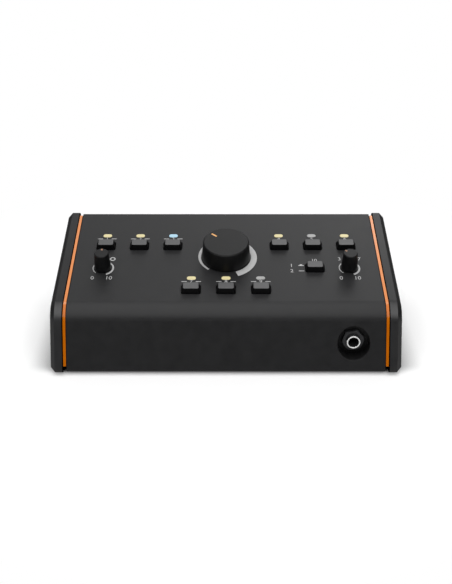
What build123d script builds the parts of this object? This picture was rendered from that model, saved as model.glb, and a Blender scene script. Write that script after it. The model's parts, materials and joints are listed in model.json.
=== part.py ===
from build123d import *
import math
import os

# A desktop studio monitor controller: a sheet-metal wedge between two moulded end cheeks.
# Millimetres. +X is the user's right, +Y runs to the rear and +Z is up. The origin is the
# centre of the bounding box, on the surface that the feet stand on.

# ---- Case ----
case_width = 200.0  # cover, between the two trim plates
front_length = 40.5  # front face, lower edge to the sharp corner with the top
front_lean = 20.0  # degrees, front face back from the vertical
top_slope = 15.0  # degrees, top panel up towards the rear
bend_radius = 15.0  # outside of the large bend between front and top
edge_radius = 1.8  # outside of the small sheet bends
sheet = 1.5
seat_gap = 0.3  # left between curved or bent pieces that lie close
ground_clearance = 2.0  # floor to the underside of the cover
rear_flange = 9.0  # cover lip over the rear panel
bottom_flange = 12.0  # cover lip under the base

# ---- Controls on the top panel, measured from its rear edge down the slope ----
indicator_row = 26.8
indicator_to_button = 11.3
volume_row = 49.7
knob_row = 61.4
row_pitch = 44.8  # rear indicator row to front indicator row
front_margin = 18.6  # front button row to the sharp front corner
column_pitch = 22.4
column_count = 3  # on each side of the volume knob
inner_column = 35.8  # first column beside the volume knob

# ---- Trim plates and cheeks ----
trim_thickness = 2.0
trim_proud = 0.5  # trim above the cover surface
trim_end_gap = 4.2  # trim stops short of the case's two ends
cheek_thickness = 8.2
cheek_proud = 0.7  # cheek above the cover's front and top; flush behind and below
cheek_corner = 1.5
cheek_bevel_width = 2.8  # across the cheek's thickness
cheek_bevel_depth = 2.3  # in from the cheek's outline
cheek_inner_edge = 0.4  # broken edge beside the trim
cheek_wall = 2.5
cheek_pocket_corner = 1.0
cheek_outer_wall = 3.0
cheek_rib = 1.5
cheek_rib_pitch = 24.0
cheek_rib_count = 3
boss_radius = 3.6
cheek_screw_inset = 11.0  # screw centres from the two sides that meet at a corner

# ---- Fasteners ----
screw_radius = 1.45
screw_clearance = 0.25
thread_clearance = 0.05
head_radius = 2.75
head_height = 1.7
short_head_height = 1.2  # heads under the base
head_round = 0.6  # share of a head's height that is rounded
nut_chamfer_angle = 30.0  # degrees
nut_chamfer_share = 0.9  # of a corner's reach past the flats
cheek_screw_length = 9.0
cover_screw_length = 5.0
cover_screw_inset = 20.0  # outer screws from the cover's two sides
cover_screw_count = 4  # along the rear lip
board_screw_length = 4.0

# ---- Feet ----
foot_radius = 7.0
foot_taper = 0.8
foot_inset_x = 18.0
foot_inset_front = 23.0
foot_inset_rear = 16.0
foot_recess_depth = 1.9
foot_recess_radius = 3.4
foot_screw_length = 4.5

# ---- Push buttons ----
cap_width = 12.3
cap_depth = 8.4
cap_corner = 1.2
cap_top_shrink = 1.1  # each side, from the panel up to the top
cap_height = 3.5
cap_edge = 0.4
cap_wall = 1.1
cap_gap = 0.3  # between the cap and its aperture
cap_flange = 1.0
cap_flange_width = 1.0
button_travel = 1.5
stem_radius = 1.6
stem_gap = 0.15
stem_entry = 0.6  # stem inside its switch at rest
switch_size = 6.2
switch_height = 4.6
switch_collar_height = 1.0
switch_collar_inset = 0.4
selector_travel = 2.2
selector_switch_size = 8.6
selector_switch_height = 6.4
plunger_size = 3.0
plunger_gap = 0.1

# ---- Indicators ----
lens_width = 5.8
lens_depth = 3.2
lens_proud = 0.15
lens_gap = 0.1
lens_flange = 0.8
lens_flange_height = 1.0
led_width = 3.2
led_depth = 2.8
led_height = 1.9

# ---- Knobs and potentiometers ----
knob_gap = 0.6  # knob above the panel
volume_base_radius = 16.15
volume_top_radius = 15.0
volume_height = 12.9  # top face above the panel
volume_rim = 0.7
volume_wall = 2.2
volume_crown = 3.4
volume_hub_radius = 5.2
volume_pointer_start = 8.3
volume_pointer_end = 12.7
volume_pointer_angle = 48.0  # degrees, anticlockwise from the rear
small_base_radius = 5.5
small_top_radius = 4.6
small_height = 12.8
small_rim = 0.4
small_pointer_length = 1.6
left_pointer_angle = 0.0
right_pointer_angle = 51.0
pointer_width = 1.2
pointer_depth = 0.8
shaft_radius = 3.0
shaft_flat = 1.6  # flat of the D, from the axis
shaft_fit = 0.05
shaft_crown_gap = 0.3
volume_can_radius = 8.5
bush_radius = 3.5
bush_height = 4.6
pot_nut_flats = 10.0
pot_nut_height = 2.0
small_pot_size = 10.0
small_pot_height = 7.0
pot_floor = 2.4  # under a shaft, above the control board

# ---- Boards ----
board_drop = 12.0  # top panel's outer surface to the control board
board_thickness = 1.6
board_side_gap = 6.0
control_board_rear = 9.6
control_board_overhang = 7.0  # past the front button row
main_pillar_height = 5.7
main_board_rear_gap = 1.5
main_board_front_gap = 0.5
pillar_radius = 2.6
pillar_inset = 5.0

# ---- Front jack ----
jack_inset = 20.0  # jack's axis from the cover's right side
jack_axis_over_board = 7.3
recess_radius = 10.3
recess_wall = 1.2
recess_floor = 1.5
bush_behind_face = 1.4  # bush end behind the front face, on the jack's axis
bush_out_of_nut = 2.3
jack_nut_height = 2.8
jack_nut_flats = 13.0
jack_nut_turn = 11.4
jack_bush_radius = 4.35
jack_bush_edge = 0.4
plug_bore_radius = 3.25
jack_body_width = 15.6
jack_body_length = 22.0
jack_bore_depth = 20.0

# ---- Rear panel ----
rear_jack_count = 8
rear_jack_pitch = 17.0
rear_jack_inset = 18.5  # last jack from the cover's right side
rear_nose_radius = 4.5
rear_nose_out = 4.5
rear_nut_flats = 12.6
rear_nut_height = 2.4
inlet_inset = 29.0  # inlet from the cover's left side
inlet_width = 9.0
inlet_height = 11.0
inlet_length = 14.0
inlet_radius = 3.15
inlet_pin_radius = 1.0
inlet_depth = 9.5
power_inset = 13.0  # power button from the cover's left side
power_radius = 4.0
power_out = 5.0
power_edge = 0.5
power_gap = 0.3
power_travel = 2.5
power_inside = 4.0
power_switch_size = 9.0
power_switch_length = 14.0

# ---- Parts on the main board ----
relay_length = 20.0
relay_width = 10.0
relay_height = 9.5
relay_count = 4
relay_pitch = 14.0
relay_inset = 42.0  # first relay from the cover's left side
relay_y = 64.0
chip_length = 9.8
chip_width = 6.4
chip_height = 3.4
chip_count = 5
chip_pitch = 13.6
chip_gap = 3.3  # between the chips and the rear jacks
capacitor_radius = 4.0
capacitor_height = 11.0
capacitor_edge = 0.5
capacitor_count = 5
capacitor_pitch = 12.0
capacitor_inset = 20.0  # first capacitor from the cover's left side
capacitor_y = 44.0
header_length = 26.0
header_width = 6.0
header_height = 8.0
header_x = 30.0
header_back = 52.6
ribbon_width = 22.0
ribbon_thickness = 0.9
ribbon_reach = 5.0
ribbon_radius = 12.0

# ---- Cutting ----
past = 1.0  # how far a cutting shape runs past a surface

# ---- Worked out ----
lean = math.radians(front_lean)
slope = math.radians(top_slope)
button_row = indicator_row + indicator_to_button
front_indicator_row = indicator_row + row_pitch
front_button_row = button_row + row_pitch
top_length = front_button_row + front_margin
corner_y = front_length * math.sin(lean)
corner_z = front_length * math.cos(lean)
case_depth = corner_y + top_length * math.cos(slope)
rear_height = corner_z + top_length * math.sin(slope)
half_width = case_width / 2
jack_x = half_width - jack_inset
inlet_x = inlet_inset - half_width
power_x = power_inset - half_width
relay_first_x = relay_inset - half_width
capacitor_first_x = capacitor_inset - half_width
columns = [inner_column + column_pitch * step for step in range(column_count)]
rear_columns = [-x for x in reversed(columns)] + columns
front_columns = [-column_pitch, 0.0, column_pitch]
outer_column = columns[-1]
selector_column = columns[1]
trim_face = half_width + trim_thickness
cheek_face = trim_face + cheek_thickness
base_z = 2 * sheet  # upper side of the base sheet
main_board_z = base_z + main_pillar_height
main_board_top = main_board_z + board_thickness
jack_z = main_board_top + jack_axis_over_board
jack_body_height = 2 * jack_axis_over_board
face_y = jack_z * math.tan(lean)  # front face on the jack's axis
bush_front_y = face_y + bush_behind_face
recess_floor_y = bush_front_y + bush_out_of_nut + jack_nut_height
jack_body_y = recess_floor_y + recess_floor
rear_outer_y = case_depth - sheet  # base chassis rear panel, outer side
rear_inner_y = rear_outer_y - sheet
main_board_front = jack_body_y + main_board_front_gap
main_board_rear = rear_inner_y - main_board_rear_gap
chip_y = rear_inner_y - jack_body_length - chip_gap - chip_length / 2
flange_top = -(sheet + seat_gap)  # a cap's flange, under the panel
flange_bottom = flange_top - cap_flange
board_top = -board_drop
board_bottom = board_top - board_thickness
panel = Plane(
    origin=(0, case_depth, rear_height),
    x_dir=(1, 0, 0),
    z_dir=(0, -math.sin(slope), math.cos(slope)),
)

# Front-most point: the cheek's rounded lower front corner.
corner_inset = cheek_corner - cheek_proud
toe_y = corner_inset / math.cos(lean) + cheek_corner * math.tan(lean) - cheek_corner
heel_y = rear_outer_y + max(rear_nose_out, power_out)
to_origin = Pos(0, -(toe_y + heel_y) / 2, ground_clearance)


# ---- Helpers ----
def block(x_range, y_range, z_range):
    """Box between two values on each axis."""
    spans = [x_range, y_range, z_range]
    middle = [(low + high) / 2 for low, high in spans]
    size = [high - low for low, high in spans]
    return Pos(*middle) * Box(*size)


def meet(first, second):
    """Point where two lines cross, each given as a point and a direction in (y, z)."""
    (ay, az), (ady, adz) = first
    (by, bz), (bdy, bdz) = second
    step = ((by - ay) * bdz - (bz - az) * bdy) / (ady * bdz - adz * bdy)
    return (ay + step * ady, az + step * adz)


def section(front, top, rear, bottom, radii):
    """Case outline in the YZ plane, each side moved in by its own inset.

    radii round the corners in the order lower front, upper front, upper rear, lower rear.
    """
    front_line = (
        (front * math.cos(lean), -front * math.sin(lean)),
        (math.sin(lean), math.cos(lean)),
    )
    top_line = (
        (case_depth + top * math.sin(slope), rear_height - top * math.cos(slope)),
        (math.cos(slope), math.sin(slope)),
    )
    rear_line = ((case_depth - rear, 0.0), (0.0, 1.0))
    bottom_line = ((0.0, bottom), (1.0, 0.0))
    corners = [
        meet(front_line, bottom_line),
        meet(front_line, top_line),
        meet(top_line, rear_line),
        meet(rear_line, bottom_line),
    ]
    return Plane.YZ * make_face(FilletPolyline(*corners, radius=radii, close=True))


def slab(outline, x_from, x_to):
    """Extrude an outline in the YZ plane between two x values."""
    return Pos(x_from, 0, 0) * extrude(outline, x_to - x_from)


def on_panel(x, back, up=0.0):
    """Place on the top panel: across, back from the rear edge, up from the outer surface."""
    return panel.location * Pos(x, -back, up)


def rod(radius, length):
    """Cylinder from z = 0 upwards."""
    return Cylinder(radius, length, align=(Align.CENTER, Align.CENTER, Align.MIN))


def facing_rear(x, y, z):
    """Place whose local z runs to the rear."""
    return Pos(x, y, z) * Rot(-90, 0, 0)


def mirrored(shape):
    """The same piece on the other side of the case."""
    return mirror(shape, about=Plane.YZ)


def pan_screw(length, head=head_height):
    """Pan-head screw, its head on top of z = 0 and its shank below."""
    cap = fillet(rod(head_radius, head).faces().sort_by(Axis.Z)[-1].edges(), head * head_round)
    return cap + Pos(0, 0, -length) * rod(screw_radius, length)


def hex_nut(flats, height, hole_radius, turn=0.0):
    """Chamfered hexagon nut standing on z = 0."""
    corner = flats / math.sqrt(3)
    body = extrude(Rot(0, 0, turn) * RegularPolygon(corner, 6), height)
    edge = (corner - flats / 2) * nut_chamfer_share
    drop = edge * math.tan(math.radians(nut_chamfer_angle))
    blank = rod(corner, height)
    blank = chamfer(blank.faces().sort_by(Axis.Z)[-1].edges(), drop, edge)
    return body & blank - rod(hole_radius, height)


# ---- Case ----
cover_screw_span = case_width - 2 * cover_screw_inset
cover_screw_pitch = cover_screw_span / (cover_screw_count - 1)
cover_screws_x = [cover_screw_pitch * step - cover_screw_span / 2 for step in range(cover_screw_count)]
cover_screw_z = rear_height - (edge_radius + rear_flange) / 2
bottom_screws_x = [-cover_screw_span / 2, 0.0, cover_screw_span / 2]
bottom_screw_y = (edge_radius + bottom_flange) / 2
foot_x = half_width - foot_inset_x
foot_places = [
    (x, y) for x in (-foot_x, foot_x) for y in (foot_inset_front, case_depth - foot_inset_rear)
]
rear_jack_first = half_width - rear_jack_inset - rear_jack_pitch * (rear_jack_count - 1)
rear_jacks_x = [rear_jack_first + rear_jack_pitch * step for step in range(rear_jack_count)]


def cheek_screw_places():
    """Screw centres (y, z): lower front, lower rear and upper rear of the case's side."""
    inset = cheek_screw_inset
    front = inset * math.tan(lean) + inset / math.cos(lean)
    rear = case_depth - inset
    high = rear_height - inset * math.tan(slope) - inset / math.cos(slope)
    return [(front, inset), (rear, inset), (rear, high)]


def side_drill(radius, x_from, x_to):
    """Drills through one side of the case at the cheek screws."""
    return [
        Pos(x_from, y, z) * Rot(0, 90, 0) * rod(radius, x_to - x_from)
        for y, z in cheek_screw_places()
    ]


def recess_drill(radius, y_to):
    """Horizontal drill from in front of the case back to y_to, on the front jack's axis."""
    start = -recess_radius
    return facing_rear(jack_x, start, jack_z) * rod(radius, y_to - start)


def cap_opening():
    """Aperture for a button cap, cut through the panel."""
    opening = RectangleRounded(cap_width + 2 * cap_gap, cap_depth + 2 * cap_gap, cap_corner + cap_gap)
    return extrude(opening, 2 * sheet, both=True)


def button_places():
    """All ten caps, (x, back): rear row, front row, selector."""
    rear = [(x, button_row) for x in rear_columns]
    front = [(x, front_button_row) for x in front_columns]
    return rear + front + [(selector_column, knob_row)]


def indicator_places():
    """All nine indicator windows, (x, back): rear row, then front row."""
    rear = [(x, indicator_row) for x in rear_columns]
    return rear + [(x, front_indicator_row) for x in front_columns]


def front_top_cover():
    """One bent sheet: bottom lip, leaning front, large bend, sloping top and rear lip."""
    outer = section(0, 0, 0, 0, [edge_radius, bend_radius, edge_radius, 0])
    inside = edge_radius - sheet
    inner = section(sheet, sheet, sheet, sheet, [inside, bend_radius - sheet, inside, 0])
    cover = slab(outer - inner, -half_width, half_width)
    whole_x = (-half_width - past, half_width + past)
    below_lip = (-past, rear_height - rear_flange)
    cover -= block(whole_x, (rear_inner_y, case_depth + past), below_lip)
    cover -= block(whole_x, (bottom_flange, case_depth + past), (-past, 2 * sheet))
    tools = [on_panel(x, back) * cap_opening() for x, back in button_places()]
    window = SlotOverall(lens_width + 2 * lens_gap, lens_depth + 2 * lens_gap)
    window_hole = extrude(window, 2 * sheet, both=True)
    tools += [on_panel(x, back) * window_hole for x, back in indicator_places()]
    bush_hole = extrude(Circle(bush_radius + screw_clearance), 2 * sheet, both=True)
    tools += [on_panel(0, volume_row) * bush_hole]
    shaft_hole = extrude(Circle(shaft_radius + cap_gap), 2 * sheet, both=True)
    tools += [on_panel(x, knob_row) * shaft_hole for x in (-outer_column, outer_column)]
    tools += [recess_drill(recess_radius, recess_floor_y)]
    hole = rod(screw_radius + screw_clearance, 4 * sheet)
    tools += [facing_rear(x, case_depth - 2 * sheet, cover_screw_z) * hole for x in cover_screws_x]
    tools += [Pos(x, bottom_screw_y, -sheet) * hole for x in bottom_screws_x]
    return cover - tools


def base_chassis():
    """Pan bent from one sheet: bottom, rear panel and two side walls."""
    under = sheet + seat_gap
    inside = edge_radius - sheet
    rounds = [edge_radius, bend_radius - under, edge_radius, edge_radius]
    outer = slab(section(under, under, sheet, sheet, rounds), -half_width, half_width)
    long_edges = outer.edges().filter_by(Axis.Y).group_by(Axis.Z)[0]
    outer = fillet(long_edges, sheet)
    beyond = -3 * sheet
    hollow_x = half_width - sheet
    hollow_outline = section(beyond, beyond, 2 * sheet, 2 * sheet, [0, 0, 0, inside])
    hollow = slab(hollow_outline, -hollow_x, hollow_x)
    base = outer - hollow
    wall_hole = screw_radius + screw_clearance
    right_holes = side_drill(wall_hole, half_width - 2 * sheet, half_width + sheet)
    tools = right_holes + [mirrored(hole) for hole in right_holes]
    rear_start = rear_inner_y - sheet
    jack_hole = rod(rear_nose_radius + screw_clearance, 3 * sheet)
    tools += [facing_rear(x, rear_start, jack_z) * jack_hole for x in rear_jacks_x]
    inlet_hole = rod(rear_nose_radius + screw_clearance, 3 * sheet)
    tools += [facing_rear(inlet_x, rear_start, jack_z) * inlet_hole]
    tools += [facing_rear(power_x, rear_start, jack_z) * rod(power_radius + power_gap, 3 * sheet)]
    thread = rod(screw_radius + thread_clearance, 4 * sheet)
    tools += [facing_rear(x, rear_start, cover_screw_z) * thread for x in cover_screws_x]
    tools += [Pos(x, bottom_screw_y, 0) * thread for x in bottom_screws_x]
    tools += [Pos(x, y, 0) * thread for x, y in foot_places]
    return base - tools


def right_trim():
    """Flat trim plate whose edge shows as a strip; it stops short at the rear and at the bottom."""
    edge = [0, bend_radius + trim_proud, 0, 0]
    outline = section(-trim_proud, -trim_proud, trim_end_gap, trim_end_gap, edge)
    plate = slab(outline, half_width, trim_face)
    return plate - side_drill(screw_radius + screw_clearance, half_width - past, trim_face + past)


def cheek_outline(inset, corner):
    """Cheek's outline in the YZ plane, moved in all round."""
    over = inset - cheek_proud
    return section(over, over, inset, inset, [corner, bend_radius - over, corner, corner])


def right_cheek():
    """Moulded cheek: bevelled rim outside, pocket with ribs and screw bosses inside."""
    rim = cheek_outline(0, cheek_corner)
    bevel_start = cheek_face - cheek_bevel_width
    outer_face = cheek_outline(cheek_bevel_depth, cheek_corner / 2)
    bevel = loft([Pos(bevel_start, 0, 0) * rim, Pos(cheek_face, 0, 0) * outer_face], ruled=True)
    inner = slab(rim, trim_face, bevel_start)
    inner = chamfer(inner.faces().sort_by(Axis.X)[0].edges(), cheek_inner_edge)
    cheek = inner + bevel
    pocket_to = cheek_face - cheek_outer_wall
    pocket = slab(cheek_outline(cheek_wall, cheek_pocket_corner), trim_face, pocket_to)
    bosses = side_drill(boss_radius, trim_face, pocket_to)
    first_rib = case_depth / 2 - cheek_rib_pitch * (cheek_rib_count - 1) / 2
    ribs = [
        block((trim_face, pocket_to), (y - cheek_rib / 2, y + cheek_rib / 2), (0, rear_height))
        for y in [first_rib + cheek_rib_pitch * step for step in range(cheek_rib_count)]
    ]
    cheek -= pocket - bosses - ribs
    hole_to = trim_face + cheek_screw_length - sheet - trim_thickness + thread_clearance
    return cheek - side_drill(screw_radius + thread_clearance, trim_face - past, hole_to)


def cheek_screws():
    """Six screws, driven outwards from inside the case into the cheeks' bosses."""
    inner = half_width - sheet
    turned = Rot(0, -90, 0) * pan_screw(cheek_screw_length)
    right = [Pos(inner, y, z) * turned for y, z in cheek_screw_places()]
    return right + [mirrored(screw) for screw in right]


def cover_screws():
    """Screws through the cover's rear lip and up through its bottom lip."""
    rear_screw = pan_screw(cover_screw_length)
    rear = [facing_rear(x, case_depth, cover_screw_z) * rear_screw for x in cover_screws_x]
    under_screw = Rot(180, 0, 0) * pan_screw(cover_screw_length, short_head_height)
    return rear + [Pos(x, bottom_screw_y, 0) * under_screw for x in bottom_screws_x]


def rubber_feet():
    """Four tapered feet under the base, each with a recess for its screw."""
    height = ground_clearance + sheet
    foot = Pos(0, 0, -ground_clearance) * Cone(
        foot_radius - foot_taper, foot_radius, height, align=(Align.CENTER, Align.CENTER, Align.MIN)
    )
    foot -= Pos(0, 0, -ground_clearance) * rod(foot_recess_radius, foot_recess_depth)
    foot -= Pos(0, 0, -ground_clearance) * rod(screw_radius + screw_clearance, height)
    return [Pos(x, y, 0) * foot for x, y in foot_places]


def foot_screws():
    """One screw up through each foot into the base."""
    seat = foot_recess_depth - ground_clearance
    screw = Rot(180, 0, 0) * pan_screw(foot_screw_length, short_head_height)
    return [Pos(x, y, seat) * screw for x, y in foot_places]


# ---- Push buttons ----
def cap_shell():
    """Button cap, hollow underneath, in panel coordinates: tapered top, straight skirt, flange."""
    foot = RectangleRounded(cap_width, cap_depth, cap_corner)
    crown_width = cap_width - 2 * cap_top_shrink
    crown_depth = cap_depth - 2 * cap_top_shrink
    crown = Pos(0, 0, cap_height) * RectangleRounded(crown_width, crown_depth, cap_corner)
    top = loft([foot, crown])
    top = fillet(top.faces().sort_by(Axis.Z)[-1].edges(), cap_edge)
    skirt = Pos(0, 0, flange_bottom) * extrude(foot, -flange_bottom)
    grown = 2 * cap_flange_width
    flange_shape = RectangleRounded(cap_width + grown, cap_depth + grown, cap_corner)
    flange = Pos(0, 0, flange_bottom) * extrude(flange_shape, cap_flange)
    wall = cap_wall + cap_top_shrink
    hollow_shape = RectangleRounded(cap_width - 2 * wall, cap_depth - 2 * wall, cap_corner / 2)
    hollow_height = cap_height - cap_wall - flange_bottom
    return top + skirt + flange - Pos(0, 0, flange_bottom) * extrude(hollow_shape, hollow_height)


def stem_bottom():
    """Lower end of a momentary cap's stem, just inside its switch."""
    return board_top + switch_height - stem_entry


def button_cap():
    """Momentary cap with its moulded stem."""
    bottom = stem_bottom()
    stem = Pos(0, 0, bottom) * rod(stem_radius, cap_height - cap_wall - bottom)
    return cap_shell() + stem


def button_switch():
    """Switch on the control board, open at the top for the cap's stem."""
    case_height = switch_height - switch_collar_height
    body = Pos(0, 0, board_top) * extrude(Rectangle(switch_size, switch_size), case_height)
    collar = rod(switch_size / 2 - switch_collar_inset, switch_collar_height)
    collar = Pos(0, 0, board_top + case_height) * collar
    depth = stem_entry + button_travel + seat_gap
    well = Pos(0, 0, board_top + switch_height - depth) * rod(stem_radius + stem_gap, depth)
    return body + collar - well


def selector_socket_bottom():
    """Lower end of the socket under the selector cap."""
    return board_top + selector_switch_height + selector_travel + seat_gap


def plunger_bar(size, bottom, top):
    """Square bar in panel coordinates."""
    return Pos(0, 0, bottom) * extrude(Rectangle(size, size), top - bottom)


def selector_button():
    """Selector cap with a square socket for its switch's plunger."""
    bottom = selector_socket_bottom()
    top = cap_height - cap_wall
    socket = plunger_bar(plunger_size + 2 * cap_wall, bottom, top)
    return cap_shell() + socket - plunger_bar(plunger_size, bottom, flange_top)


def selector_plunger():
    """Square plunger of the latching switch, seated in the selector cap."""
    bottom = board_top + selector_switch_height - selector_travel - seat_gap
    return plunger_bar(plunger_size, bottom, flange_top)


def selector_switch():
    """Latching switch on the control board, open at the top for its plunger."""
    body = plunger_bar(selector_switch_size, board_top, board_top + selector_switch_height)
    well_bottom = board_top + selector_switch_height - 2 * selector_travel - 2 * seat_gap
    return body - plunger_bar(plunger_size + 2 * plunger_gap, well_bottom, 0)


# ---- Indicators ----
def indicator_lens():
    """Light pipe from the window down to its LED."""
    shape = SlotOverall(lens_width, lens_depth)
    flange_shape = SlotOverall(lens_width + 2 * lens_flange, lens_depth + 2 * lens_flange)
    bottom = board_top + led_height + seat_gap
    pipe = Pos(0, 0, bottom) * extrude(shape, lens_proud - bottom)
    return pipe + Pos(0, 0, -sheet - lens_flange_height) * extrude(flange_shape, lens_flange_height)


def led_package():
    """Surface-mount LED on the control board."""
    return Pos(0, 0, board_top) * extrude(Rectangle(led_width, led_depth), led_height)


# ---- Knobs and potentiometers, in panel coordinates ----
def shaft_shape(clearance=0.0):
    """Outline of a D shaft, its flat towards the user."""
    flat = shaft_flat + clearance
    radius = shaft_radius + clearance
    cut = Pos(0, -flat - radius) * Rectangle(4 * radius, 2 * radius)
    return Circle(radius) - cut


def pot_shaft(knob_top, crown):
    """Shaft from inside the potentiometer up into the knob, with a D flat inside the knob."""
    bottom = board_top + pot_floor + seat_gap
    top = knob_top - crown - shaft_crown_gap
    flat_start = bush_height + seat_gap
    round_part = Pos(0, 0, bottom) * rod(shaft_radius, flat_start - bottom)
    return round_part + Pos(0, 0, flat_start) * extrude(shaft_shape(), top - flat_start)


def shaft_socket(knob_top, crown):
    """Blind bore in a knob's hub: a D that fits the shaft, round below the flat."""
    top = knob_top - crown
    start = bush_height + seat_gap
    bore = rod(shaft_radius + shaft_fit, start)
    return bore + Pos(0, 0, start) * extrude(shaft_shape(shaft_fit), top - start)


def volume_pointer():
    """Bar let into the top of the volume knob."""
    bottom = volume_height - pointer_depth
    half = pointer_width / 2
    bar = block((-half, half), (volume_pointer_start, volume_pointer_end), (bottom, volume_height))
    return Rot(0, 0, volume_pointer_angle) * bar


def volume_knob():
    """Turned knob: tapered wall, crown with a broken edge, hub round the shaft, hollow below."""
    wall_in = volume_base_radius - volume_wall
    under = volume_height - volume_crown
    profile = Polyline(
        (0, knob_gap),
        (volume_hub_radius, knob_gap),
        (volume_hub_radius, under),
        (wall_in, under),
        (wall_in, knob_gap),
        (volume_base_radius, knob_gap),
        (volume_top_radius, volume_height - volume_rim),
        (volume_top_radius - volume_rim, volume_height),
        (0, volume_height),
        close=True,
    )
    knob = revolve(Plane.XZ * make_face(profile), Axis.Z)
    nut_room = rod(pot_nut_flats / math.sqrt(3) + 2 * seat_gap, bush_height + seat_gap)
    return knob - nut_room - shaft_socket(volume_height, volume_crown) - volume_pointer()


def small_pointer(angle):
    """Bar let into the top of a small knob, reaching its edge."""
    outer = small_top_radius - small_rim
    bottom = small_height - pointer_depth
    half = pointer_width / 2
    bar = block((-half, half), (outer - small_pointer_length, outer), (bottom, small_height))
    return Rot(0, 0, angle) * bar


def small_knob(angle):
    """Tall tapered knob with a broken top edge."""
    profile = Polyline(
        (0, knob_gap),
        (small_base_radius, knob_gap),
        (small_top_radius, small_height - small_rim),
        (small_top_radius - small_rim, small_height),
        (0, small_height),
        close=True,
    )
    knob = revolve(Plane.XZ * make_face(profile), Axis.Z)
    return knob - shaft_socket(small_height, volume_crown) - small_pointer(angle)


def volume_pot():
    """Round potentiometer on the control board, its bush standing through the panel."""
    can = Pos(0, 0, board_top) * rod(volume_can_radius, -sheet - board_top)
    bush = Pos(0, 0, -sheet) * rod(bush_radius, sheet + bush_height)
    bore_bottom = board_top + pot_floor
    bore = Pos(0, 0, bore_bottom) * rod(shaft_radius + shaft_fit, bush_height - bore_bottom)
    return can + bush - bore


def small_pot():
    """Square potentiometer on the control board."""
    body = Pos(0, 0, board_top) * extrude(Rectangle(small_pot_size, small_pot_size), small_pot_height)
    bore_bottom = board_top + pot_floor
    bore = Pos(0, 0, bore_bottom) * rod(shaft_radius + shaft_fit, small_pot_height)
    return body - bore


def pot_nut():
    """Nut on the volume potentiometer's bush, under the knob."""
    return hex_nut(pot_nut_flats, pot_nut_height, bush_radius + thread_clearance)


# ---- Boards ----
def control_pillar_places():
    """Pillars under the top panel, (x, back)."""
    outer = half_width - board_side_gap - pillar_inset
    rear = control_board_rear + pillar_inset
    front = front_button_row
    right = [(outer, rear), (column_pitch / 2, rear), (inner_column, front), (outer, front)]
    return [(side * x, back) for side in (-1, 1) for x, back in right]


def control_board():
    """Board that carries everything under the top panel."""
    half = half_width - board_side_gap
    front = front_button_row + control_board_overhang
    middle = (control_board_rear + front) / 2
    board = Rectangle(2 * half, front - control_board_rear)
    plate = on_panel(0, middle, board_bottom) * extrude(board, board_thickness)
    hole = rod(screw_radius + screw_clearance, 3 * board_thickness)
    hole_from = board_bottom - board_thickness
    return plate - [on_panel(x, back, hole_from) * hole for x, back in control_pillar_places()]


def control_board_pillars():
    """Threaded pillars from the panel's underside down to the control board."""
    length = board_drop - sheet
    pillar = rod(pillar_radius, length) - rod(screw_radius + thread_clearance, board_screw_length)
    return [on_panel(x, back, board_top) * pillar for x, back in control_pillar_places()]


def main_pillar_places():
    """Pillars on the base, (x, y)."""
    beside_jack = jack_x - jack_body_width / 2 - head_radius - pillar_inset / 2
    outer = half_width - board_side_gap - pillar_inset
    front = main_board_front + pillar_inset
    rear = rear_inner_y - jack_body_length - pillar_inset
    return [(side * x, y) for side in (-1, 1) for x, y in ((beside_jack, front), (outer, rear))]


def main_board():
    """Board on the base that carries the jacks, relays and amplifiers."""
    half = half_width - board_side_gap
    plate = block((-half, half), (main_board_front, main_board_rear), (main_board_z, main_board_top))
    hole = rod(screw_radius + screw_clearance, 3 * board_thickness)
    return plate - [Pos(x, y, main_board_z - board_thickness) * hole for x, y in main_pillar_places()]


def main_board_pillars():
    """Threaded pillars from the base up to the main board."""
    start = main_pillar_height - board_screw_length + board_thickness
    pillar = rod(pillar_radius, main_pillar_height)
    pillar -= Pos(0, 0, start) * rod(screw_radius + thread_clearance, main_pillar_height)
    return [Pos(x, y, base_z) * pillar for x, y in main_pillar_places()]


def board_screws():
    """Screws that hold both boards to their pillars."""
    screw = pan_screw(board_screw_length)
    upwards = Rot(180, 0, 0) * screw
    under = [on_panel(x, back, board_bottom) * upwards for x, back in control_pillar_places()]
    return under + [Pos(x, y, main_board_top) * screw for x, y in main_pillar_places()]


# ---- Jacks, inlet and power switch ----
def jack_recess_cup():
    """Cup behind the front face: round wall trimmed to the leaning sheet, flat upright floor."""
    cup = recess_drill(recess_radius + recess_wall, jack_body_y)
    cup -= recess_drill(recess_radius, recess_floor_y)
    cup -= recess_drill(jack_bush_radius + thread_clearance, jack_body_y)
    behind = section(sheet, sheet, 0, 0, [0, 0, 0, 0])
    return cup & slab(behind, 0, half_width)


def front_jack_bush():
    """Bright threaded bush that the plug enters."""
    length = jack_body_y - bush_front_y
    bush = facing_rear(jack_x, bush_front_y, jack_z) * rod(jack_bush_radius, length)
    bush = chamfer(bush.faces().sort_by(Axis.Y)[0].edges(), jack_bush_edge)
    return bush - facing_rear(jack_x, bush_front_y, jack_z) * rod(plug_bore_radius, length)


def front_jack_nut():
    """Hexagon nut that clamps the recess floor."""
    nut = hex_nut(jack_nut_flats, jack_nut_height, jack_bush_radius + thread_clearance, jack_nut_turn)
    return Pos(jack_x, recess_floor_y, jack_z) * Rot(90, 0, 0) * nut


def jack_block(x, y_from, y_to):
    """Jack housing standing on the main board."""
    half = jack_body_width / 2
    top = main_board_top + jack_body_height
    return block((x - half, x + half), (y_from, y_to), (main_board_top, top))


def front_jack_body():
    """Housing behind the recess, bored for the plug."""
    body = jack_block(jack_x, jack_body_y, jack_body_y + jack_body_length)
    return body - facing_rear(jack_x, jack_body_y, jack_z) * rod(plug_bore_radius, jack_bore_depth)


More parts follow.
